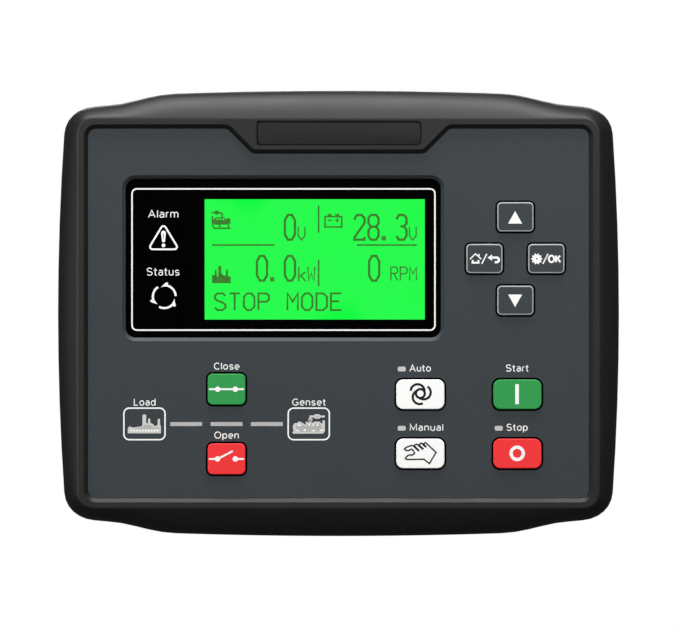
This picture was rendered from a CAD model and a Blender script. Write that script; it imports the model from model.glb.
import math

import bmesh
import bpy
from mathutils import Matrix, Vector
from mathutils.geometry import tessellate_polygon


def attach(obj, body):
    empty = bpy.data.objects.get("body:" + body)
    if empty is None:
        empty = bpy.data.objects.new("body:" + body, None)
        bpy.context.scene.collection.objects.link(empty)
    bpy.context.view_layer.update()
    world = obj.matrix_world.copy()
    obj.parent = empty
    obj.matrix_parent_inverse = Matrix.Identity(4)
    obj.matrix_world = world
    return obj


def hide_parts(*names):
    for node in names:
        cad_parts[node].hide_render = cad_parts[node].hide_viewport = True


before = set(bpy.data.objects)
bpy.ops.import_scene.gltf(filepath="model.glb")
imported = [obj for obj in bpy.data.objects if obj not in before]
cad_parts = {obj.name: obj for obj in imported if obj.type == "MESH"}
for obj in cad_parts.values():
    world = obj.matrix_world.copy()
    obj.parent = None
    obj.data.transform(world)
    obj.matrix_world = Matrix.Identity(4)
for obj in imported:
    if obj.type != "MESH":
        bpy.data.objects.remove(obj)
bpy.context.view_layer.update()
scene = bpy.context.scene
scene.view_settings.view_transform = "Standard"


# Camera: a catalogue picture of a panel, taken straight on from far enough back that no side shows.
# The picture is 680 by 630 pixels, and the controller's middle lies a little left of and above its middle.
IMAGE_W = 680
IMAGE_H = 630
METRES_PER_PIXEL = 0.3726e-3
MIDDLE_X_PIXEL = 338.5
MIDDLE_Y_PIXEL = 313.3
CAMERA_BACK = 3.0
OUTLINE_Y = -0.005
SENSOR_W = 36

lens = bpy.data.cameras.new("camera")
lens.sensor_width = SENSOR_W
lens.lens = SENSOR_W * (CAMERA_BACK + OUTLINE_Y) / (IMAGE_W * METRES_PER_PIXEL)
camera = bpy.data.objects.new("camera", lens)
camera.location = (
    (IMAGE_W / 2 - MIDDLE_X_PIXEL) * METRES_PER_PIXEL,
    -CAMERA_BACK,
    (MIDDLE_Y_PIXEL - IMAGE_H / 2) * METRES_PER_PIXEL,
)
camera.rotation_euler = (math.radians(90), 0, 0)
scene.collection.objects.link(camera)
scene.camera = camera


# Studio: a white surround with a dark room in front of it, and soft boxes above the camera, at the left,
# overhead and behind. The controller hangs free, as it does in the picture, so no floor takes a shadow.
class Socket:
    """A socket in a node tree: arithmetic on it adds Math nodes, and node() adds any other node."""

    def __init__(self, tree, socket=None):
        self.tree = tree
        self.socket = socket

    def node(self, kind, settings=None, inputs=None, output=0):
        made = self.tree.nodes.new(kind if "Node" in kind else "ShaderNode" + kind)
        for name, value in (settings or {}).items():
            setattr(made, name, value)
        for name, value in (inputs or {}).items():
            if isinstance(value, (Socket, list)):
                for source in value if isinstance(value, list) else [value]:
                    self.tree.links.new(source.socket, made.inputs[name])
            else:
                made.inputs[name].default_value = value
        return Socket(self.tree, made.outputs[output] if made.outputs else None)

    def math(self, operation, *values):
        return self.node("Math", {"operation": operation}, dict(enumerate(values)))

    def __add__(self, other):
        return self.math("ADD", self, other)

    def __sub__(self, other):
        return self.math("SUBTRACT", self, other)

    def __rsub__(self, other):
        return self.math("SUBTRACT", other, self)

    def __mul__(self, other):
        return self.math("MULTIPLY", self, other)

    __radd__ = __add__
    __rmul__ = __mul__

    def between(self, low, high):
        """0 below low, 1 above high and a smooth rise between them."""
        inputs = {"Value": self, "From Min": low, "From Max": high}
        return self.node("MapRange", {"interpolation_type": "SMOOTHSTEP"}, inputs)

    def mix(self, low, high):
        """The colour low where this is 0 and high where it is 1."""
        return self.node("Mix", {"data_type": "RGBA"}, {0: self, 6: low, 7: high}, output=2)


def grey(level):
    return (level, level, level, 1)


ROOM_DARK = grey(0.01)
ROOM_SIDES = grey(0.08)
# How far back a ray points, from -1 to 1, where the dark room ends and where gloss mirrors the backdrop
ROOM_EDGES = (-0.95, -0.4)
BACKDROP_EDGES = (0.996, 0.9995)

studio = bpy.data.worlds.new("studio")
scene.world = studio
studio.use_nodes = True
studio.node_tree.nodes.clear()
air = Socket(studio.node_tree)
ray_y = air.node("SeparateXYZ", inputs={"Vector": air.node("TexCoord", output="Generated")}, output="Y")
room = ray_y.between(*ROOM_EDGES).mix(ROOM_DARK, ROOM_SIDES)
seen = air.node("LightPath", output="Is Camera Ray")
mirrored = air.node("LightPath", output="Is Glossy Ray") * ray_y.between(*BACKDROP_EDGES)
through = air.node("LightPath", output="Is Transmission Ray")
backdrop = air.math("MINIMUM", seen + mirrored + through, 1.0)
surround = air.node("Background", inputs={"Color": backdrop.mix(room, grey(1.0)), "Strength": 1.0})
air.node("OutputWorld", inputs={"Surface": surround})


def soft_box(name, place, width, height, watts):
    """A lamp with a flat front that points at the controller."""
    lamp = bpy.data.lights.new(name, "AREA")
    lamp.shape = "RECTANGLE"
    lamp.size = width
    lamp.size_y = height
    lamp.energy = watts
    box = bpy.data.objects.new(name, lamp)
    box.location = place
    box.rotation_euler = (-Vector(place)).to_track_quat("-Z", "Y").to_euler()
    scene.collection.objects.link(box)


soft_box("main_box", (0.36, -1.15, 0.74), 0.7, 0.7, 13.7)
soft_box("left_box", (-0.9, -1.2, 0.2), 0.3, 0.6, 8)
soft_box("side_box", (-1.3, -0.3, 0.15), 0.5, 0.8, 1.2)
soft_box("top_box", (-0.05, -0.18, 0.95), 1.0, 0.3, 12.6)
soft_box("rear_box", (0, 1.6, 0.5), 0.8, 0.8, 16)


# Bezel: one black moulding with a spark-eroded skin, a pillowed rim and a flat land round the keypad.
# It is the CAD solid with its facets shaded as the smooth curve that they stand for, and the crease
# round the land is eased as on a real moulding, so that it draws a thin light line.
def paint(red, green, blue):
    """A colour from 0 to 255, as a picture has it, in the shader's linear shares."""
    shares = [c / 255 for c in (red, green, blue)]
    linear = [c / 12.92 if c <= 0.04045 else ((c + 0.055) / 1.055) ** 2.4 for c in shares]
    return (*linear, 1)


def scaled(colour, share):
    return (*[c * share for c in colour[:3]], 1)


def new_material(name):
    """A material with an empty tree, and the place of each point of the object in it."""
    material = bpy.data.materials.new(name)
    material.use_nodes = True
    material.node_tree.nodes.clear()
    return material, Socket(material.node_tree).node("TexCoord", output="Object")


def finish(place, shader, **inputs):
    """Ends a material's tree with a shader."""
    surface = place.node(shader, inputs={key.replace("_", " "): value for key, value in inputs.items()})
    place.node("OutputMaterial", inputs={"Surface": surface})


def noise(place, scale, detail):
    return place.node("TexNoise", inputs={"Vector": place, "Scale": scale, "Detail": detail})


# Tones and depth in metres of the mould's grain, and the larger clouds in its gloss
GRAIN_EDGES = (0.25, 0.75)
GRAIN_DEPTH = 4e-5
CLOUD_SCALE = 60.0
CLOUD_GLOSS = 0.12


def moulded(name, colour, roughness, grain=0.5, mottle=0.1, relief=0.2, gloss=0.5):
    """Plastic from a textured mould: grain is in millimetres, and mottle is its share of the colour."""
    material, place = new_material(name)
    fine = noise(place, 1000 / grain, 3.0)
    cloud = noise(place, CLOUD_SCALE, 2.0)
    finish(
        place,
        "BsdfPrincipled",
        Base_Color=fine.between(*GRAIN_EDGES).mix(scaled(colour, 1 - mottle), scaled(colour, 1 + mottle)),
        Roughness=cloud * CLOUD_GLOSS + (roughness - CLOUD_GLOSS / 2),
        Normal=place.node("Bump", inputs={"Height": fine, "Strength": relief, "Distance": GRAIN_DEPTH}),
        Specular_IOR_Level=gloss,
    )
    return material


# Points nearer than this in metres are one point, and faces that turn by less in degrees are one face
MERGE_GAP = 1e-6
FLAT_TURN = 0.05


def cad_copy(node):
    """A CAD node's mesh with its loose triangles joined and its flat faces made whole again."""
    bm = bmesh.new()
    bm.from_mesh(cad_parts[node].data)
    bmesh.ops.remove_doubles(bm, verts=bm.verts, dist=MERGE_GAP)
    bmesh.ops.dissolve_limit(bm, angle_limit=math.radians(FLAT_TURN), verts=bm.verts, edges=bm.edges)
    return bm


# A face whose normal has less than this along Y looks straight forward
STRAIGHT_FORWARD = -0.99999


def add_piece(name, bm, finishes, body="case", stands_for=(), crease=30, flat_front=False):
    """Makes a mesh a piece that rides a body, smooth but for edges that turn by more than the crease.

    With a flat front, the edges of all faces that look straight forward are kept sharp too.
    """
    bm.normal_update()
    for face in bm.faces:
        face.smooth = True
    for edge in bm.edges:
        edge.smooth = len(edge.link_faces) == 2 and edge.calc_face_angle(0) < math.radians(crease)
        if flat_front and any(face.normal.y < STRAIGHT_FORWARD for face in edge.link_faces):
            edge.smooth = False
    mesh = bpy.data.meshes.new(name)
    bm.to_mesh(mesh)
    bm.free()
    for material in finishes:
        mesh.materials.append(material)
    piece = bpy.data.objects.new(name, mesh)
    scene.collection.objects.link(piece)
    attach(piece, body)
    if stands_for:
        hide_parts(*stands_for)


EASED_STEPS = 3


def ease_edges(bm, width, turn, above=-math.inf):
    """Rounds the edges that turn by an angle between two limits and lie above a height in millimetres."""
    low, high = [math.radians(limit) for limit in turn]
    sharp = []
    for edge in bm.edges:
        if len(edge.link_faces) == 2 and low < edge.calc_face_angle(0) < high:
            if min(-1000 * vert.co.y for vert in edge.verts) > above:
                sharp.append(edge)
    bmesh.ops.bevel(
        bm,
        geom=sharp,
        offset=width,
        offset_type="OFFSET",
        segments=EASED_STEPS,
        profile=0.5,
        affect="EDGES",
        clamp_overlap=False,
    )
    return bm


LAND_Z = 15.0
CREASE_EASED = 0.5e-3
CREASE_TURN = (12, 47)
BEZEL_CREASE = 18
# Slack in millimetres where heights are compared
SLACK = 0.01
bezel_plastic = moulded("bezel_plastic", paint(24, 24, 23), 0.48, grain=0.6, mottle=0.24, gloss=0.39)
bezel = ease_edges(cad_copy("bezel"), CREASE_EASED, CREASE_TURN, above=LAND_Z - SLACK)
add_piece(
    "bezel_moulding", bezel, [bezel_plastic], "case", ["bezel"],
    crease=BEZEL_CREASE, flat_front=True,
)


# Panel gasket: a flat ring of black foam rubber between the bezel and the door.
# It is punched from sheet and stuck into the hollow of the rim.
def dress(material, *nodes):
    """Gives CAD nodes that are shown as they are their finish."""
    for node in nodes:
        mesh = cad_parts[node].data
        mesh.materials.clear()
        mesh.materials.append(material)


dress(moulded("gasket_rubber", paint(30, 30, 30), 0.85, grain=0.8, mottle=0.25, relief=0.6), "panel_gasket")


# Blank plate: a plain black tile let into the tab of the bezel, duller than the moulding round it.
# It is moulded on its own, with its edges just broken, and stuck in. It is drawn in a little at the left
# and the top, where the real one leaves a dark seam.
TILE_EASED = 0.12e-3
TILE_TURN = (35, 180)
TILE_MIDDLE_Z = 67.5e-3
SEAM_LEFT = 0.5e-3
SEAM_TOP = 0.3e-3

blank_plastic = moulded("blank_plastic", paint(30, 30, 29), 0.6, grain=0.5, mottle=0.1, gloss=0.22)
blank = ease_edges(cad_copy("blank_plate"), TILE_EASED, TILE_TURN)
for vert in blank.verts:
    if vert.co.x < 0:
        vert.co.x += SEAM_LEFT
    if vert.co.z > TILE_MIDDLE_Z:
        vert.co.z -= SEAM_TOP
add_piece("blank_tile", blank, [blank_plastic], "case", ["blank_plate"])


# Keypad panel: a slate grey plate with a fine matt grain and openings for the keys, lamps and window.
# It lies in the recess of the bezel, stuck down flat, with a chamfer down to the display window.
SLATE = paint(51, 57, 61)

panel_plastic = moulded("panel_plastic", SLATE, 0.5, grain=0.7, mottle=0.11, relief=0.15, gloss=0.28)
panel = cad_copy("keypad_panel")
add_piece("keypad_plate", panel, [panel_plastic], "case", ["keypad_panel"])


# Print on the keypad panel: white words beside the keys and lamps, and two framed signs for the load
# and the generator set. It is screen printed in three inks, so it is a thin layer that lies on the plate.

# Thickness of the ink, how deep it sinks in, and what each mark adds to it, in millimetres
PRINT_T = 0.03
PRINT_SINK = 0.01
PRINT_STEP = 0.0004
CURVE_STEPS = 16
CORNER_STEPS = 8


def stood(x, y, z):
    """A point drawn on the face in millimetres, with z towards the viewer, in the frame's metres."""
    return Vector((x, -z, y)) / 1000


def oval(x, y, wide, tall, start=0, end=360, steps=CURVE_STEPS):
    """Points along an ellipse of two radii between two angles in degrees."""
    turns = [math.radians(start + (end - start) * i / steps) for i in range(steps + 1)]
    return [(x + wide * math.cos(t), y + tall * math.sin(t)) for t in turns]


def ring(x, y, radius):
    return oval(x, y, radius, radius, steps=2 * CURVE_STEPS)[:-1]


def box(x, y, width, height, radius=0.0):
    """Points round a rectangle about a centre, with its corners rounded."""
    if not radius:
        corners = ((1, -1), (1, 1), (-1, 1), (-1, -1))
        return [(x + sx * width / 2, y + sy * height / 2) for sx, sy in corners]
    points = []
    for quarter, (sx, sy) in enumerate(((1, 1), (-1, 1), (-1, -1), (1, -1))):
        middle = (x + sx * (width / 2 - radius), y + sy * (height / 2 - radius))
        points += oval(*middle, radius, radius, 90 * quarter, 90 * quarter + 90, CORNER_STEPS)
    return points


def loop(points):
    """Points that end where they began."""
    return [*points, points[0]]


def turned(points, degrees):
    c = math.cos(math.radians(degrees))
    s = math.sin(math.radians(degrees))
    return [(c * x - s * y, s * x + c * y) for x, y in points]


def shifted(points, dx, dy, grow_x=1.0, grow_y=1.0):
    return [(dx + grow_x * x, dy + grow_y * y) for x, y in points]


# Letters as their width and strokes, on capitals 6 high and small letters 4.3 high
CAP_H = 6
LETTER_GAP = 2.0
LETTERS = {
    "A": (5.4, [[(0, 0), (2.7, 6), (5.4, 0)], [(0.9, 1.9), (4.5, 1.9)]]),
    "C": (5.0, [oval(2.7, 3, 2.7, 3, 45, 315)]),
    "G": (5.3, [oval(2.7, 3, 2.7, 3, 45, 325), [(3.0, 2.7), (5.1, 2.7), (5.1, 0.2)]]),
    "K": (4.6, [[(0, 0), (0, 6)], [(4.3, 6), (0.2, 2.3)], [(1.6, 3.6), (4.6, 0)]]),
    "L": (3.5, [[(0, 6), (0, 0), (3.5, 0)]]),
    "M": (5.6, [[(0, 0), (0, 6), (2.8, 0.8), (5.6, 6), (5.6, 0)]]),
    "O": (5.8, [oval(2.9, 3, 2.9, 3)]),
    "S": (4.6, [[*oval(2.3, 4.5, 2.1, 1.5, 25, 270), *oval(2.3, 1.5, 2.3, 1.5, 90, -155)[1:]]]),
    "a": (3.3, [
        [*oval(1.7, 3.0, 1.5, 1.3, 150, 0, 8), (3.2, 0)],
        [(3.2, 2.5), (1.5, 2.5), *oval(1.4, 1.25, 1.4, 1.25, 95, 275, 8), (2.6, 0.3), (3.2, 1.0)],
    ]),
    "d": (3.9, [oval(1.9, 2.15, 1.9, 2.15), [(3.9, 6), (3.9, 0)]]),
    "e": (3.8, [[(0, 2.2), *oval(1.9, 2.15, 1.9, 2.15, 0, 310)]]),
    "l": (0, [[(0, 0), (0, 6)]]),
    "m": (6.0, [
        [(0, 0), (0, 4.3)],
        [*oval(1.5, 3.0, 1.5, 1.3, 180, 0, 8), (3.0, 0)],
        [*oval(4.5, 3.0, 1.5, 1.3, 180, 0, 8), (6.0, 0)],
    ]),
    "n": (3.4, [[(0, 0), (0, 4.3)], [*oval(1.7, 2.7, 1.7, 1.6, 180, 0, 8), (3.4, 0)]]),
    "o": (4.0, [oval(2.0, 2.15, 2.0, 2.15)]),
    "p": (3.9, [[(0, -1.8), (0, 4.3)], oval(2.0, 2.15, 1.9, 2.15)]),
    "r": (1.7, [[(0, 0), (0, 4.3)], oval(1.7, 2.6, 1.7, 1.6, 180, 85, 8)]),
    "s": (3.3, [[*oval(1.65, 3.2, 1.5, 1.1, 25, 270, 8), *oval(1.65, 1.05, 1.65, 1.05, 90, -155, 8)[1:]]]),
    "t": (1.9, [[(0.7, 5.8), *oval(1.7, 0.9, 1.0, 0.9, 180, 270, 6), (2.0, 0)], [(-0.5, 4.1), (2.1, 4.1)]]),
    "u": (3.4, [[(0, 4.3), *oval(1.7, 1.6, 1.7, 1.6, 180, 360, 8)], [(3.4, 4.3), (3.4, 0)]]),
}


# Ends of a stroke nearer than this in millimetres meet, and the limit keeps its sharp corners short
SAME_POINT = 1e-6
MITRE_LIMIT = 0.5


class Print:
    """Flat marks in one ink, drawn in millimetres about a centre, that become one thin piece."""

    def __init__(self):
        self.bm = bmesh.new()
        self.front = PRINT_T

    def rows(self, points):
        """The points of a mark at its back and its front; each mark is a hair thicker than the last."""
        self.front += PRINT_STEP
        return [[self.bm.verts.new((*p, z)) for p in points] for z in (-PRINT_SINK, self.front)]

    def fill(self, *outlines):
        """A filled outline: those after the first are holes in it."""
        back, front = self.rows([p for outline in outlines for p in outline])
        for corners in tessellate_polygon([[Vector((*p, 0)) for p in outline] for outline in outlines]):
            for row in (back, front):
                self.bm.faces.new([row[i] for i in corners])
        first = 0
        for outline in outlines:
            for i in range(len(outline)):
                a = first + i
                b = first + (i + 1) % len(outline)
                self.bm.faces.new((back[a], back[b], front[b], front[a]))
            first += len(outline)

    def line(self, points, width):
        """A stroke of even width along points, closed if they end where they began."""
        path = [Vector(p) for p in points]
        closed = (path[0] - path[-1]).length < SAME_POINT
        if closed:
            path.pop()
        count = len(path)
        sides = [[], []]
        for i, here in enumerate(path):
            runs = []
            if closed or i > 0:
                runs.append((here - path[i - 1]).normalized())
            if closed or i < count - 1:
                runs.append((path[(i + 1) % count] - here).normalized())
            normals = [Vector((-run.y, run.x)) for run in runs]
            mean = sum(normals, Vector((0, 0))).normalized()
            reach = width / 2 / max(mean.dot(normals[0]), MITRE_LIMIT)
            for side, sign in zip(sides, (1, -1)):
                side.append(here + sign * reach * mean)
        back, front = self.rows(sides[0] + sides[1])
        sections = [(back[i], back[count + i], front[count + i], front[i]) for i in range(count)]
        if closed:
            sections.append(sections[0])
        else:
            self.bm.faces.new(sections[0])
            self.bm.faces.new(sections[-1])
        for a, b in zip(sections, sections[1:]):
            for i in range(4):
                j = (i + 1) % 4
                self.bm.faces.new((a[i], a[j], b[j], b[i]))

    def words(self, text, left, base, width, height, weight):
        """Words over a width, with their capitals standing on a base line and reaching a height."""
        reach = sum(LETTERS[c][0] for c in text) + LETTER_GAP * (len(text) - 1)
        grow_x = (width - weight) / reach
        grow_y = (height - weight) / CAP_H
        x = left + weight / 2
        for character in text:
            advance, strokes = LETTERS[character]
            for points in strokes:
                self.line(shifted(points, x, base + weight / 2, grow_x, grow_y), weight)
            x += grow_x * (advance + LETTER_GAP)

    def lay(self, name, material, x, y, z, body="case"):
        """Lays the marks about a place on a surface at height z, and makes them a piece."""
        for vert in self.bm.verts:
            vert.co = stood(x + vert.co.x, y + vert.co.y, z + vert.co.z)
        bmesh.ops.recalc_face_normals(self.bm, faces=self.bm.faces)
        add_piece(name, self.bm, [material], body)


INK_GRAIN = 2500.0
INK_THIN = 0.94


def inked(name, colour):
    """Screen ink, with the faint mottle of the mesh it was pressed through."""
    material, place = new_material(name)
    marks = noise(place, INK_GRAIN, 1.0)
    tone = marks.mix(scaled(colour, INK_THIN), colour)
    finish(place, "BsdfPrincipled", Base_Color=tone, Roughness=0.5, Specular_IOR_Level=0.3)
    return material


PANEL_Z = 13.4
WORD_H = 2.7
WORD_LINE = 0.34
# Words as their left end, base line and width
PANEL_WORDS = {
    "Close": (-46.3, -20.97, 9.5),
    "Open": (-46.15, -46.6, 9.1),
    "Load": (-76.05, -34.35, 8.1),
    "Genset": (-17.2, -34.35, 12.45),
    "Auto": (26.35, -21.7, 8.0),
    "Manual": (26.5, -43.7, 12.4),
    "Start": (62.15, -21.7, 8.5),
    "Stop": (62.4, -43.7, 7.9),
}
SIGN_Y = -41.1
LOAD_X = -72.1
GENSET_X = -11.05
SIGN_W = 15.8
SIGN_H = 12.25
SIGN_R = 2.0
SIGN_LINE = 0.52

FACTORY = [
    (-6.2, -3.5), (-6.2, -1.9), (-5.9, -1.2), (-5.35, -0.9), (-4.65, -1.3), (-3.95, -1.3),
    (-1.0, -0.9), (-0.75, -0.3), (-0.75, 3.1), (-0.4, 3.5), (0.4, 3.5), (0.7, 3.1),
    (0.6, 0.6), (1.05, 0.05), (1.35, 0.45), (1.35, 1.8), (1.75, 2.15), (2.1, 1.8),
    (2.2, 0.35), (3.05, 0.0), (3.95, -0.9), (4.9, -0.35), (4.95, 1.7), (5.4, 2.05),
    (5.75, 1.7), (5.8, -0.2), (6.15, -0.9), (6.1, -3.5),
]
ROOF_SHADE = [
    (-4.2, -1.9), (-3.0, -1.6), (-0.7, -1.25), (0.1, -0.25), (1.9, -0.25), (3.0, -0.8),
    (3.8, -1.55), (5.1, -1.05), (5.6, -1.9),
]
PANE_N = 10
PANE_STEP = 1.09
PANE_Y = -2.5
PANE = (0.55, 0.75)
panes = [box((i - (PANE_N - 1) / 2) * PANE_STEP, PANE_Y, *PANE) for i in range(PANE_N)]

ENGINE = [
    (-6.0, -3.6), (-6.0, -2.85), (-5.5, -2.65), (-5.8, -2.1), (-5.95, -1.2), (-5.8, -0.4),
    (-5.2, 0.3), (-4.4, 0.3), (-3.9, 0.8), (-2.9, 0.8), (-2.4, 0.3), (-2.05, 0.3),
    (-1.4, -0.3), (-1.1, -0.2), (-1.1, 0.85), (-0.4, 0.85), (0.05, 0.5), (1.65, 0.5),
    (1.9, 0.85), (4.1, 0.85), (4.6, 0.15), (5.1, 0.15), (5.1, 1.3), (6.0, 1.3),
    (6.0, -2.65), (5.35, -3.6),
]
ENGINE_SHADE = [
    (-4.9, -0.5), (-4.6, -1.7), (-3.2, -2.8), (3.6, -2.9), (4.9, -1.7), (4.9, -0.5),
    (4.0, 0.15), (-0.5, 0.15), (-1.2, -0.8), (-2.2, -0.4), (-4.3, -0.2),
]
MUFFLER = [(1.65, 2.78), (2.3, 3.6), (3.95, 3.6), (4.65, 2.78), (3.95, 1.95), (2.3, 1.95)]
MUFFLER_SHADE = oval(3.14, 2.78, 0.8, 0.24)[:-1]
TURBO = oval(0.62, 1.6, 0.78, 0.72)[:-1]
# Pipes, and bright bars and feet of the engine, as boxes: place and size
EXHAUST = [
    box(*pipe)
    for pipe in ((0.62, 1.6, 0.72, 2.6), (1.3, 2.78, 2.08, 0.72), (5.2, 2.78, 1.6, 0.72))
]
ENGINE_MARKS = [
    box(*mark)
    for mark in (
        (0.2, -0.4, 0.5, 0.85), (1.7, -0.4, 0.5, 0.85), (3.25, -0.4, 0.5, 0.85),
        (-3.5, -0.55, 1.5, 0.45), (-1.45, -2.3, 0.8, 0.6), (4.7, -2.35, 0.8, 0.6),
        (1.75, -2.55, 1.4, 0.45), (-4.0, -2.5, 0.9, 0.45),
    )
]

white_ink = inked("white_ink", paint(250, 250, 248))
pale_ink = inked("pale_ink", paint(208, 207, 205))
grey_ink = inked("grey_ink", paint(180, 179, 177))

words = Print()
for text, (left, base, width) in PANEL_WORDS.items():
    words.words(text, left, base, width, WORD_H, WORD_LINE)
# The frames of both signs are printed with the words
for sign_x in (LOAD_X, GENSET_X):
    words.line(loop(box(sign_x, SIGN_Y, SIGN_W - SIGN_LINE, SIGN_H - SIGN_LINE, SIGN_R)), SIGN_LINE)
words.lay("panel_words", white_ink, 0, 0, PANEL_Z)
# Each sign is a pale shape with its shaded parts and then its bright ones printed over it
signs = {
    "load": (LOAD_X, [FACTORY], [ROOF_SHADE], panes),
    "genset": (GENSET_X, [ENGINE, MUFFLER, TURBO, *EXHAUST], [ENGINE_SHADE, MUFFLER_SHADE], ENGINE_MARKS),
}
for sign, (sign_x, *layers) in signs.items():
    for above, (ink, outlines) in enumerate(zip((pale_ink, grey_ink, white_ink), layers)):
        layer = Print()
        for outline in outlines:
            layer.fill(outline)
        layer.lay(f"{sign}_sign_{above}", ink, sign_x, SIGN_Y, PANEL_Z + above * PRINT_T)


# Display window: a sheet of acrylic, black on its back round a clear field over the picture.
# A white line and two symbols, each over a light pipe, are printed on it. It is glued into the bezel.
WINDOW_Z = 12.2
# Middle and size of the clear field
VIEW_X = -8.85
VIEW_Y = 20.05
VIEW_W = 81.85
VIEW_H = 44.75
SMEAR_SCALE = 90.0
SMEAR_GLOSS = 0.06
POLISHED = 0.05
MASK_BLACK = (grey(0.0004), grey(0.0008))
CLEAR_TINT = 0.015


def window_acrylic():
    """Black where the back is printed and clear over the picture, with one gloss all over."""
    material, place = new_material("window_acrylic")
    outside = []
    for axis, middle, span in (("X", VIEW_X, VIEW_W), ("Z", VIEW_Y, VIEW_H)):
        along = place.node("SeparateXYZ", inputs={"Vector": place}, output=axis)
        off = place.math("ABSOLUTE", along - middle / 1000)
        outside.append(place.math("GREATER_THAN", off, span / 2000))
    smear = noise(place, SMEAR_SCALE, 2.0)
    finish(
        place,
        "BsdfPrincipled",
        Base_Color=smear.mix(*MASK_BLACK),
        Roughness=smear * SMEAR_GLOSS + POLISHED,
        Alpha=place.math("MAXIMUM", *outside) * (1 - CLEAR_TINT) + CLEAR_TINT,
        IOR=1.49,
    )
    return material


window = cad_copy("display_window")
add_piece("window_sheet", window, [window_acrylic()], "case", ["display_window"])

LINE_X = -20.45
LINE_Y = 20.0
LINE_W = 112.6
LINE_H = 52.5
LINE_R = 1.8
LINE_T = 0.55
SYMBOL_X = -65.05
SYMBOL_LINE = 0.66
SYMBOL_WORDS = {"Alarm": (-70.75, 35.5, 11.25), "Status": (-71.35, 14.0, 12.25)}
SYMBOL_WORD_H = 2.98
SYMBOL_WORD_LINE = 0.34
# Middles of the triangle's round corners, from the top, and the mark inside it
TRIANGLE = [(0, 31.45), (-4.05, 24.75), (4.05, 24.75)]
TRIANGLE_R = 0.95
ALARM_MARK = [
    (-0.5, 26.45), (0.5, 26.45), (0.9, 29.6), (0.75, 30.3), (0.3, 30.7),
    (-0.3, 30.7), (-0.75, 30.3), (-0.9, 29.6),
]
ALARM_SLIT = [(-0.06, 27.6), (0.06, 27.6), (0.14, 29.5), (-0.14, 29.5)]
ALARM_DOT = (0, 25.25, 0.7)
STATUS_X = -64.75
STATUS_Y = 6.2
STATUS_R = 4.25
STATUS_LINE = 0.78
STATUS_SWEEP = (3, 84)
# One-sided arrow head as radius and angle, from the tip round the barb and back along the inside of the arc
STATUS_HEAD = [(3.75, 110), (5.4, 82), (5.35, 74), (4.3, 73), (3.8, 80), (3.78, 97)]

window_print = Print()
window_print.line(loop(box(LINE_X, LINE_Y, LINE_W, LINE_H, LINE_R)), LINE_T)
for text, (left, base, width) in SYMBOL_WORDS.items():
    window_print.words(text, left, base, width, SYMBOL_WORD_H, SYMBOL_WORD_LINE)
triangle = []
for corner, middle in enumerate(TRIANGLE):
    turn = 30 + 120 * corner
    triangle += oval(*middle, TRIANGLE_R, TRIANGLE_R, turn, turn + 120, 6)
window_print.line(loop(shifted(triangle, SYMBOL_X, 0)), SYMBOL_LINE)
window_print.fill(shifted(ALARM_MARK, SYMBOL_X, 0), shifted(ALARM_SLIT, SYMBOL_X, 0))
window_print.fill(shifted(ring(*ALARM_DOT), SYMBOL_X, 0))
head = [turned([(radius, 0)], angle)[0] for radius, angle in STATUS_HEAD]
for third in range(3):
    sweep = oval(0, 0, STATUS_R, STATUS_R, *STATUS_SWEEP)
    window_print.line(shifted(turned(sweep, 120 * third), STATUS_X, STATUS_Y), STATUS_LINE)
    window_print.fill(shifted(turned(head, 120 * third), STATUS_X, STATUS_Y))
window_print.lay("window_print", white_ink, 0, 0, WINDOW_Z)


# Display: a green-lit liquid crystal cell on its backlight, held on the board by a folded steel frame.
# Its dark segments stand in the cell, and it shows plain readings as such a controller does at rest.
CELL_Z = 8.45
GLOW = paint(42, 255, 80)
GLOW_DEEP = paint(12, 252, 63)
GLOW_CLOUDS = 28.0
GLOW_EDGES = (0.56, 0.74)
SEGMENT = paint(64, 130, 50)
SEGMENT_MOTTLE = 0.15
SEGMENT_GRAIN = 900.0
SEGMENT_EDGES = (0.3, 0.7)


def lit(name, low, high, scale, edges):
    """A surface that gives its own light, in two tones that run into each other between two edges."""
    material, place = new_material(name)
    clouds = noise(place, scale, 1.0)
    finish(place, "Emission", Color=clouds.between(*edges).mix(low, high), Strength=1.0)
    return material


ROLLING_SCALE = 400.0
ROLLING_GLOSS = 0.2
ROLLING_DARK = 0.9


def metal(name, colour, roughness):
    """Plated metal with fine rolling marks in its gloss."""
    material, place = new_material(name)
    marks = noise(place, ROLLING_SCALE, 4.0)
    tone = marks.mix(scaled(colour, ROLLING_DARK), colour)
    gloss = marks * ROLLING_GLOSS + (roughness - ROLLING_GLOSS / 2)
    finish(place, "BsdfPrincipled", Base_Color=tone, Roughness=gloss, Metallic=1.0)
    return material


plated_steel = metal("plated_steel", paint(196, 197, 200), 0.32)
dress(lit("display_green", GLOW, GLOW_DEEP, GLOW_CLOUDS, GLOW_EDGES), "lcd_glass")
dress(moulded("diffuser_white", paint(236, 236, 230), 0.6), "lcd_backlight")
dress(plated_steel, "lcd_frame")

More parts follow.
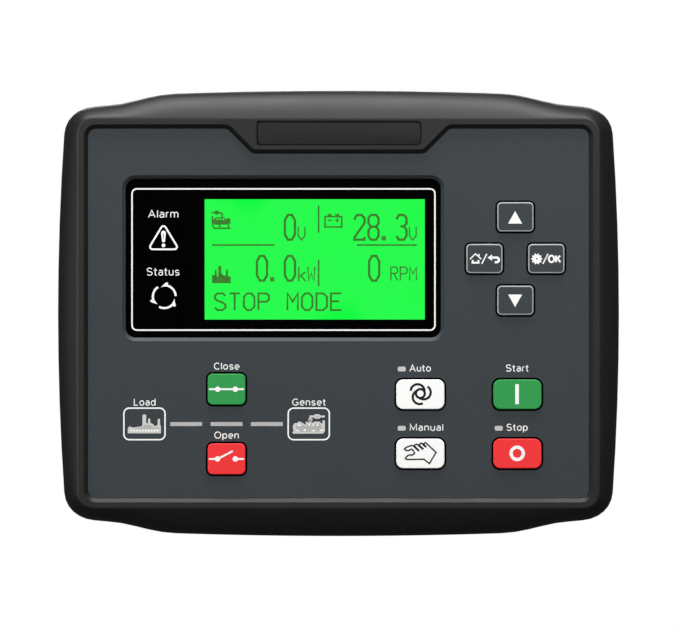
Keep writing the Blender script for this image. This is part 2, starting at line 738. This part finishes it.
# Characters of the display as strokes on a field 4 wide and 8 high
CHARACTER_W = 4
CHARACTER_H = 8
OVAL = [(1.2, 0), (2.8, 0), (4, 1.7), (4, 6.3), (2.8, 8), (1.2, 8), (0, 6.3), (0, 1.7), (1.2, 0)]
CHARACTERS = {
    "0": [OVAL],
    "O": [OVAL],
    "2": [[
        (0, 6.4), (0.4, 7.4), (1.2, 8), (2.8, 8), (4, 6.9), (4, 5.4), (0, 0.7), (0, 0), (4, 0), (4, 0.9),
    ]],
    "3": [
        [(0, 6.6), (1, 8), (3, 8), (4, 7), (4, 5.2), (3, 4.3), (1.6, 4.3)],
        [(3, 4.3), (4, 3.2), (4, 1.2), (3, 0), (1, 0), (0, 1.2)],
    ],
    "8": [
        [(1, 4.2), (0, 5.3), (0, 7), (1, 8), (3, 8), (4, 7), (4, 5.3), (3, 4.2), (1, 4.2)],
        [(1, 4.2), (0, 3.1), (0, 1.1), (1, 0), (3, 0), (4, 1.1), (4, 3.1), (3, 4.2)],
    ],
    ".": [[(-0.35, 0.45), (1.35, 0.45)]],
    "V": [[(0, 8), (0, 2.6), (2, 0), (4, 2.6), (4, 8)]],
    "k": [[(0, 0), (0, 8)], [(3.8, 5.2), (0, 2.2)], [(1.2, 3.2), (4, 0)]],
    "W": [[(0, 8), (0.5, 0), (2, 4.6), (3.5, 0), (4, 8)]],
    "R": [[(0, 0), (0, 8), (3, 8), (4, 7), (4, 5.2), (3, 4.2), (0, 4.2)], [(1.8, 4.2), (4, 0)]],
    "P": [[(0, 0), (0, 8), (3, 8), (4, 7), (4, 5), (3, 4), (0, 4)]],
    "M": [[(0, 0), (0, 8), (2, 4), (4, 8), (4, 0)]],
    "S": [[
        (4, 6.8), (3, 8), (1, 8), (0, 6.8), (0, 5.4), (1, 4.5),
        (3, 3.6), (4, 2.6), (4, 1.2), (3, 0), (1, 0), (0, 1.2),
    ]],
    "T": [[(0, 8), (4, 8)], [(2, 8), (2, 0)]],
    "D": [[(0, 0), (0, 8), (2.6, 8), (4, 6.4), (4, 1.6), (2.6, 0), (0, 0)]],
    "E": [[(4, 8), (0, 8), (0, 0), (4, 0)], [(0, 4.2), (3.2, 4.2)]],
}
# Kinds of characters as their width, height, step and stroke
DIGIT = (3.75, 9.2, 5.2, 0.9)
UNIT = (2.5, 5.0, 3.5, 0.5)
TALL_UNIT = (2.6, 5.4, 3.4, 0.56)
STATUS_TEXT = (3.9, 6.2, 5.4, 0.75)
DOT_LINE = 1.65
# Readings as text, left end, base line and kind of character
READINGS = [
    ("0", -19.97, 27.4, *DIGIT),
    ("V", -15.0, 27.25, *UNIT),
    ("28.3", 5.95, 27.4, *DIGIT),
    ("V", 26.4, 27.25, *UNIT),
    ("0.0", -30.35, 12.15, *DIGIT),
    ("kW", -14.8, 11.9, *TALL_UNIT),
    ("0", 11.4, 12.15, *DIGIT),
    ("RPM", 19.5, 12.2, *UNIT),
    ("STOP MODE", -46.0, 1.2, *STATUS_TEXT),
]
# Rules between the readings as their two ends
RULES = [
    [(-47.1, 25.4), (-23.8, 25.4)],
    [(6.8, 25.4), (29.1, 25.4)],
    [(-7.4, 40.1), (-7.4, 30.0)],
    [(-7.4, 19.9), (-7.4, 10.0)],
]
RULE_LINE = 0.62
ICON_LINE = 0.6
ICON_X = -43.7
ENGINE_Y = 34.9
FACTORY_Y = 14.4
ICON_BODY = [
    (-3.3, -0.3), (-2.6, 0.2), (-2.0, 0.85), (1.2, 0.85), (2.0, 0.1), (2.6, 0.7), (3.5, 0.2),
    (3.5, -1.5), (2.0, -1.9), (-2.2, -2.0), (-3.2, -1.2),
]
ICON_PANE = (0.15, 0.7, 0.55)
ICON_PANES = [box(x, *ICON_PANE) for x in (-1.3, -0.2, 0.9)]
ICON_MUFFLER = oval(-1.6, 2.6, 0.95, 0.8)[:-1]
ICON_RUNS = [
    [(-3.6, 2.55), (-0.2, 2.5), (0.45, 2.2), (0.4, 0.6)],
    [(-3.3, 1.35), (-3.15, -2.0), (-2.6, -3.25), (3.6, -3.25)],
    [(-0.5, -1.9), (-0.5, -3.2)],
    [(2.75, -1.6), (2.75, -3.2)],
]
ICON_FACTORY = [
    (-3.35, -3.2), (-3.35, -0.2), (-2.4, -0.2), (-2.25, 1.8), (-1.7, 1.8), (-1.6, -0.7),
    (-1.1, -0.7), (-1.0, 3.2), (0, 3.2), (0.1, 0.6), (0.9, -0.3), (1.75, -0.4),
    (1.9, 1.9), (2.5, 1.9), (2.6, -0.6), (3.6, -0.8), (3.6, -3.2),
]
BATTERY_X = -1.9
BATTERY_Y = 34.05
BATTERY_W = 6.25
BATTERY_H = 3.85
# The battery's poles and the signs on it, as their places and sizes
BATTERY_MARKS = [
    (-1.43, 2.45, 1.5, 1.0), (1.43, 2.45, 1.5, 1.0),
    (-1.4, 0.55, 1.5, 0.5), (1.4, 0.55, 1.5, 0.5), (1.4, 0.55, 0.5, 1.5),
]

segments = Print()
for text, left, base, width, height, step, thick in READINGS:
    for i, character in enumerate(text):
        for points in CHARACTERS.get(character, []):
            fitted = shifted(points, left + i * step, base, width / CHARACTER_W, height / CHARACTER_H)
            segments.line(fitted, DOT_LINE if character == "." else thick)
for ends in RULES:
    segments.line(ends, RULE_LINE)
segments.fill(*[shifted(outline, ICON_X, ENGINE_Y) for outline in (ICON_BODY, *ICON_PANES)])
segments.fill(shifted(ICON_MUFFLER, ICON_X, ENGINE_Y))
for run in ICON_RUNS:
    segments.line(shifted(run, ICON_X, ENGINE_Y), ICON_LINE)
segments.fill(shifted(ICON_FACTORY, ICON_X, FACTORY_Y))
segments.line(loop(box(BATTERY_X, BATTERY_Y, BATTERY_W, BATTERY_H)), ICON_LINE)
for mark in BATTERY_MARKS:
    segments.fill(shifted(box(*mark), BATTERY_X, BATTERY_Y))
segment_tones = [scaled(SEGMENT, share) for share in (1 - SEGMENT_MOTTLE, 1 + SEGMENT_MOTTLE)]
segment_dark = lit("segment_dark", *segment_tones, SEGMENT_GRAIN, SEGMENT_EDGES)
segments.lay("display_segments", segment_dark, 0, 0, CELL_Z)


# Keys: ten coloured silicone caps on black webs, each held by a flange behind the panel, with a stem below
# it that presses its contact. The menu keys are slate with a pale edge, the others white, green or red.
KEY_TOP = 14.5
KEY_EDGE = 0.3
# Width of the flat edge that is printed pale on a menu key
KEY_LINE = 0.48
FLANGE_Z = 11.2
FLANGE_T = 0.8
FLANGE_W = 1.2
STEM_Z = 4.5
STEM_INSET = 2.0
EDGE_STEPS = 4
KEY_CREASE = 40

# Kinds of keys as their width, height and corner radius
MENU = (13.5, 10.9, 1.6)
RUN = (17.9, 11.0, 2.6)
BREAKER = (14.0, 11.5, 1.9)

SILICONE = {"grain": 0.8, "relief": 0.08, "gloss": 0.3}
key_slate = moulded("key_grey", SLATE, 0.55, grain=0.7, mottle=0.05, gloss=0.3)
key_white = moulded("key_white", paint(249, 249, 247), 0.5, mottle=0.015, **SILICONE)
key_green = moulded("key_green", paint(42, 150, 73), 0.5, mottle=0.04, **SILICONE)
key_red = moulded("key_red", paint(239, 47, 50), 0.5, mottle=0.03, **SILICONE)
edge_ink = inked("edge_ink", paint(165, 165, 165))
key_web = moulded("key_web", paint(6, 6, 6), 0.9, gloss=0.1)
# Keys as centre, kind, finish and the record's name for that finish
KEYS = {
    "up": (65.7, 35.8, MENU, key_slate, "key_grey"),
    "down": (65.7, 4.8, MENU, key_slate, "key_grey"),
    "home": (54.2, 20.3, MENU, key_slate, "key_grey"),
    "confirm": (77.2, 20.3, MENU, key_slate, "key_grey"),
    "auto": (30.4, -30.1, RUN, key_white, "key_white"),
    "manual": (30.4, -52.1, RUN, key_white, "key_white"),
    "start": (66.45, -30.1, RUN, key_green, "key_green"),
    "stop": (66.45, -52.1, RUN, key_red, "key_red"),
    "close": (-41.6, -28.2, BREAKER, key_green, "key_green"),
    "open": (-41.6, -54.1, BREAKER, key_red, "key_red"),
}


def skin(rings):
    """A closed mesh through rings of points in millimetres, from the back to the front."""
    bm = bmesh.new()
    rows = [[bm.verts.new(stood(*p, z)) for p in points] for points, z in rings]
    for back, front in zip(rows, rows[1:]):
        for i in range(len(back)):
            j = (i + 1) % len(back)
            bm.faces.new((back[i], back[j], front[j], front[i]))
    bm.faces.new(rows[0])
    bm.faces.new(rows[-1])
    bmesh.ops.recalc_face_normals(bm, faces=bm.faces)
    return bm


def key_cap(x, y, width, height, radius):
    """Stem, flange and cap: the edge with a line inside it is finish 1, and all behind the panel 2."""
    def level(grow, r, z):
        return box(x, y, width + 2 * grow, height + 2 * grow, r), z

    rings = [
        level(-STEM_INSET, radius / 2, STEM_Z),
        level(-STEM_INSET, radius / 2, FLANGE_Z - FLANGE_T),
        level(FLANGE_W, radius, FLANGE_Z - FLANGE_T),
        level(FLANGE_W, radius, FLANGE_Z),
        level(0, radius, FLANGE_Z),
        level(0, radius, PANEL_Z),
    ]
    for step in range(EDGE_STEPS + 1):
        turn = math.radians(90 * step / EDGE_STEPS)
        inset = KEY_EDGE * (1 - math.cos(turn))
        rings.append(level(-inset, radius - inset, KEY_TOP - KEY_EDGE * (1 - math.sin(turn))))
    rings.append(level(-KEY_LINE, radius - KEY_LINE, KEY_TOP))
    bm = skin(rings)
    for face in bm.faces:
        heights = [-1000 * v.co.y for v in face.verts]
        if max(heights) < PANEL_Z + SLACK:
            face.material_index = 2
        elif len(face.verts) == 4 and min(heights) > KEY_TOP - KEY_EDGE - SLACK:
            face.material_index = 1
    return bm


for key, (x, y, size, colour, slot) in KEYS.items():
    node = "key_" + key
    edge = edge_ink if size == MENU else colour
    cap = key_cap(x, y, *size)
    add_piece(node + "_cap", cap, [colour, edge, key_web], node, [node], crease=KEY_CREASE)


# Print on the keys: arrows, a house and a gear on the menu keys, a swirl and a hand for the two modes,
# a bar and a ring for start and stop, and the two states of a breaker. It is printed on the caps.
black_ink = inked("black_ink", paint(5, 5, 5))

ARROW_W = 5.2
ARROW_H = 4.65
ARROW_SHIFT = (-0.1, -0.15)
ARROW = [(-ARROW_W / 2, -ARROW_H / 2), (ARROW_W / 2, -ARROW_H / 2), (0, ARROW_H / 2)]
SIGN_STROKE = 0.45
SLASH = [(-1.0, -1.95), (0.9, 1.8)]
SLASH_SHIFT = (-0.3, 0)
HOUSE_ROOF = [(-5.4, -0.2), (-3.3, 1.8), (-1.2, -0.2)]
HOUSE_BODY = [
    (-4.75, -1.85), (-4.75, -0.55), (-4.05, -0.45), (-4.05, -1.2), (-2.55, -1.2), (-2.55, -0.45),
    (-1.85, -0.55), (-1.85, -1.85),
]
CHIMNEY = [(-2.0, 1.75), (-2.0, 0.9)]
RETURN_LINE = 0.85
RETURN_HEAD = [(1.15, 0.4), (2.85, 1.6), (2.85, -0.8)]
RETURN_TAIL = [(2.6, 0.4), (4.55, 0.4), *oval(4.55, -0.45, 0.85, 0.85, 90, -90, 8)[1:], (3.85, -1.3)]
GEAR_X = -3.55
GEAR_Y = -0.1
GEAR_TEETH = 10
GEAR_R = 2.1
GEAR_ROOT = 1.6
GEAR_HOLE = 0.32
# Left end, base line, width, height and stroke
OK_PLACE = (0.55, -1.65, 5.0, 3.1, 0.68)

marks = {key: Print() for key in KEYS}
marks["up"].fill(shifted(ARROW, *ARROW_SHIFT))
marks["down"].fill(shifted(turned(ARROW, 180), *ARROW_SHIFT))
for points in (HOUSE_ROOF, CHIMNEY, SLASH):
    marks["home"].line(points, SIGN_STROKE)
marks["home"].fill(HOUSE_BODY)
marks["home"].fill(RETURN_HEAD)
marks["home"].line(RETURN_TAIL, RETURN_LINE)
gear = []
for i in range(4 * GEAR_TEETH):
    radius = GEAR_R if i % 4 in (0, 1) else GEAR_ROOT
    gear += turned([(radius, 0)], 360 * (i - 0.5) / (4 * GEAR_TEETH))
marks["confirm"].fill(shifted(gear, GEAR_X, GEAR_Y), ring(GEAR_X, GEAR_Y, GEAR_HOLE))
marks["confirm"].line(shifted(SLASH, *SLASH_SHIFT), SIGN_STROKE)
marks["confirm"].words("OK", *OK_PLACE)

SWIRL_LINE = 0.88
SWIRL_R = 1.65
# Each arm of the swirl is an arc about a centre of its own, which lies off the middle in one direction
ARM_R = 2.58
ARM_OFF = 1.35
ARM_DIRECTION = 139
ARM_SWEEP = (-149, 38)
SWIRL_UP = 0.3
marks["auto"].line(loop(ring(0, SWIRL_UP, SWIRL_R)), SWIRL_LINE)
for third in range(3):
    arm = oval(ARM_OFF, 0, ARM_R, ARM_R, *ARM_SWEEP)
    marks["auto"].line(shifted(turned(arm, ARM_DIRECTION + 120 * third), 0, SWIRL_UP), SWIRL_LINE)

HAND_LINE = 0.54
FINGER_LINE = 0.8
HAND = [
    (1.95, 4.1), (5.85, 0.45), (3.35, -3.7), (1.3, -2.1), (-5.1, -2.2), (-5.6, -1.7),
    (-4.6, -0.7), (-3.9, -0.45), (-3.0, -0.6), (-2.15, 0.1), (-2.5, 1.0), (-3.15, 1.65),
    (-4.5, 1.1), (-5.3, 1.15), (-5.9, 1.65), (-5.2, 2.35), (-3.3, 3.0), (-2.6, 2.85),
    (-1.5, 3.5), (-0.8, 3.15), (0.35, 3.9), (1.0, 3.5),
]
FINGERS = [[(-2.4, 2.8), (-0.45, 0.95)], [(-0.7, 3.15), (1.1, 1.6)], [(1.0, 3.45), (2.2, 2.4)]]
marks["manual"].line(loop(HAND), HAND_LINE)
for finger in FINGERS:
    marks["manual"].line(finger, FINGER_LINE)

BAR = (-0.13, 0.05, 1.36, 7.4)
STOP_MIDDLE = (-0.08, 0.08)
STOP_RINGS = (2.88, 1.68)
marks["start"].fill(box(*BAR))
marks["stop"].fill(*[ring(*STOP_MIDDLE, radius) for radius in STOP_RINGS])

WIRE_END = 6.5
CONTACT_X = 3.28
CONTACT_R = 1.0
WIRE_LINE = 0.68
LEVER = [(-CONTACT_X, 0), (2.3, 2.9)]
wires = {
    "close": [[(-WIRE_END, 0), (WIRE_END, 0)]],
    "open": [[(-WIRE_END, 0), (-CONTACT_X, 0)], [(CONTACT_X, 0), (WIRE_END, 0)], LEVER],
}
for key, runs in wires.items():
    for run in runs:
        marks[key].line(run, WIRE_LINE)
    for side in (-1, 1):
        marks[key].fill(ring(side * CONTACT_X, 0, CONTACT_R))
for key, mark in marks.items():
    x, y = KEYS[key][:2]
    ink = black_ink if key in ("auto", "manual") else white_ink
    mark.lay(f"key_{key}_sign", ink, x, y, KEY_TOP, "key_" + key)


# Lamps: short clear pipes that carry light from the chips on the board to the panel and the window.
# At rest they are unlit, so they look a milky grey in the panel.
FROSTED = {"grain": 1.5, "mottle": 0.05, "relief": 0.02, "gloss": 0.3}
mode_lamp = moulded("lamp_plastic", paint(196, 195, 194), 0.4, **FROSTED)
bar_lamp = moulded("bar_plastic", paint(180, 179, 178), 0.4, **FROSTED)
dress(mode_lamp, "lamp_auto", "lamp_manual", "lamp_stop", "lamp_alarm", "lamp_status")
dress(bar_lamp, "lamp_load", "lamp_breaker", "lamp_genset")


# Display board and what stands on it: a green laminate with indicator chips, gold key contacts and the
# processor, held to the bezel by four screws. All of it is closed in behind the keypad.
board_laminate = moulded("board_laminate", paint(20, 84, 44), 0.35, grain=1.2, mottle=0.15)
chip_black = moulded("chip_black", paint(30, 30, 32), 0.5)
contact_gold = metal("contact_gold", paint(204, 172, 92), 0.35)
dress(board_laminate, "display_board")
dress(moulded("led_chip", paint(240, 236, 206), 0.35), "indicator_leds")
dress(contact_gold, "key_contacts")
dress(chip_black, "processor")
dress(plated_steel, "display_board_screws")


# Power board: a green laminate with relays, current transformers, capacitors, the clock's battery and a
# link to the display board soldered to it. It is screwed into the rear housing, and only the cooling slots
# show it.
RELAY_N = 6
TRANSFORMER_N = 3
relays = [f"relay_{i + 1}" for i in range(RELAY_N)]
transformers = [f"current_transformer_{i + 1}" for i in range(TRANSFORMER_N)]
dress(board_laminate, "power_board")
dress(chip_black, "board_link")
dress(plated_steel, "power_board_screws", "clock_battery")
dress(moulded("relay_case", paint(24, 60, 120), 0.35), *relays)
dress(moulded("transformer_case", paint(28, 28, 30), 0.45), *transformers)
dress(moulded("capacitor_sleeve", paint(34, 36, 44), 0.3), "supply_capacitors")


# Terminals: green headers on the power board and the plugs that push into them from behind.
# Both are moulded from glass-filled nylon, with gold-plated pins, and a slotted screw in each way
# tightens a steel cage on its wire.
PITCH = 5.08
SCREW_R = 1.8
SCREW_D = 1.6
SCREW_Z = -28.6
SCREW_SIDES = 28
SLOT_W = 0.6
SLOT_D = 0.7
SCREW_SHIFT = 1.0
CAGE_W = 3.3
CAGE_H = 3.1
CAGE_D = 1.2
CAGE_WALL = 0.35
CAGE_Z = -25.6
CAGE_OUT = 3.0
ROW_Y = 56.75
# Rows of terminals as ways, left end and side of the housing: 1 is the upper bay
ROWS = {
    "output": (10, -69.96, 1),
    "sensing": (8, 34.4, 1),
    "supply": (12, -69.96, -1),
    "input": (12, 14.08, -1),
}

terminal_green = moulded("terminal_green", paint(46, 140, 66), 0.4, grain=0.6, mottle=0.06)
for terminal in ROWS:
    dress(terminal_green, terminal + "_header", terminal + "_plug")
dress(contact_gold, "header_pins")

# What a row's tree is told: places and sizes are in metres
ROW_INPUTS = {
    "Ways": "Int",
    "Seed": "Int",
    "Step": "Vector",
    "Screws": "Vector",
    "Screw radius": "Float",
    "Screw depth": "Float",
    "Slot": "Vector",
    "Slot place": "Vector",
    "Cages": "Vector",
    "Cage": "Vector",
    "Cage opening": "Vector",
    "Metal": "Material",
}


def row_tree():
    """Geometry Nodes for one row: screws with their slots at any angle, and cages turned one way."""
    tree = bpy.data.node_groups.new("terminal_row", "GeometryNodeTree")
    tree.interface.new_socket("Geometry", in_out="OUTPUT", socket_type="NodeSocketGeometry")
    for name, kind in ROW_INPUTS.items():
        tree.interface.new_socket(name, in_out="INPUT", socket_type="NodeSocket" + kind)
    row = Socket(tree)

    def given(name):
        return row.node("NodeGroupInput", output=name)

    def brick(size):
        return row.node("GeometryNodeMeshCube", inputs={"Size": given(size)})

    def less(body, cutter):
        inputs = {"Mesh 1": body, "Mesh 2": cutter}
        return row.node("GeometryNodeMeshBoolean", {"operation": "DIFFERENCE"}, inputs)

    def along(start, piece, turn=None):
        inputs = {"Count": given("Ways"), "Start Location": given(start), "Offset": given("Step")}
        points = row.node("GeometryNodeMeshLine", inputs=inputs)
        inputs = {"Points": points, "Instance": piece}
        if turn:
            inputs["Rotation"] = turn
        return row.node("GeometryNodeInstanceOnPoints", inputs=inputs)

    shape = {"Vertices": SCREW_SIDES, "Radius": given("Screw radius"), "Depth": given("Screw depth")}
    core = row.node("GeometryNodeMeshCylinder", inputs=shape)
    cutter = {"Geometry": brick("Slot"), "Translation": given("Slot place")}
    screw = less(core, row.node("GeometryNodeTransform", inputs=cutter))
    cage = less(brick("Cage"), brick("Cage opening"))
    limits = {2: 0.0, 3: math.pi, "Seed": given("Seed")}
    angle = row.node("FunctionNodeRandomValue", {"data_type": "FLOAT"}, limits, output=1)
    parts = [along("Screws", screw, row.node("CombineXYZ", inputs={"Z": angle})), along("Cages", cage)]
    joined = row.node("GeometryNodeJoinGeometry", inputs={"Geometry": parts})
    solid = row.node("GeometryNodeRealizeInstances", inputs={"Geometry": joined})
    dressed = row.node("GeometryNodeSetMaterial", inputs={"Geometry": solid, "Material": given("Metal")})
    row.node("NodeGroupOutput", inputs={"Geometry": dressed})
    return tree


def metres(*sizes):
    return [size / 1000 for size in sizes]


tree = row_tree()
names = {item.name: item.identifier for item in tree.interface.items_tree if item.in_out == "INPUT"}
clamps = bmesh.new()
for seed, (ways, left, up) in enumerate(ROWS.values()):
    holder = bpy.data.objects.new("terminal_row", bpy.data.meshes.new("terminal_row"))
    scene.collection.objects.link(holder)
    modifier = holder.modifiers.new("row", "NODES")
    modifier.node_group = tree
    values = {
        "Ways": ways,
        "Seed": seed,
        "Step": metres(PITCH, 0, 0),
        "Screws": metres(left, up * (ROW_Y - SCREW_SHIFT), SCREW_Z),
        "Screw radius": SCREW_R / 1000,
        "Screw depth": SCREW_D / 1000,
        "Slot": metres(3 * SCREW_R, SLOT_W, 2 * SLOT_D),
        "Slot place": metres(0, 0, -SCREW_D / 2),
        "Cages": metres(left, up * (ROW_Y + CAGE_OUT), CAGE_Z),
        "Cage": metres(CAGE_W, CAGE_D, CAGE_H),
        "Cage opening": metres(CAGE_W - 2 * CAGE_WALL, 2 * CAGE_D, CAGE_H - 2 * CAGE_WALL),
        "Metal": plated_steel,
    }
    for name, value in values.items():
        modifier[names[name]] = value
    made = bpy.data.meshes.new_from_object(holder.evaluated_get(bpy.context.evaluated_depsgraph_get()))
    # The row is drawn face up, so it is stood upright
    made.transform(Matrix.Rotation(math.radians(90), 4, "X"))
    clamps.from_mesh(made)
    bpy.data.objects.remove(holder)
    bpy.data.meshes.remove(made)
add_piece("terminal_clamps", clamps, [plated_steel], "case", ["terminal_screws"])


# Service socket: a square shell of plated steel with a white tongue, open at the back of the housing.
# It stands on the power board and takes a lead while the controller is set up.
dress(plated_steel, "usb_shell")
dress(moulded("tongue_white", paint(230, 230, 224), 0.4), "usb_tongue")


# Rear housing: a black tray with two shallow bays for the plugs and a deep block with cooling slots.
# It is screwed to the back of the bezel through four deep counterbores.
housing_plastic = moulded("housing_plastic", paint(40, 40, 40), 0.5, grain=0.6, mottle=0.12)
dress(housing_plastic, "rear_housing")
dress(plated_steel, "housing_screws")
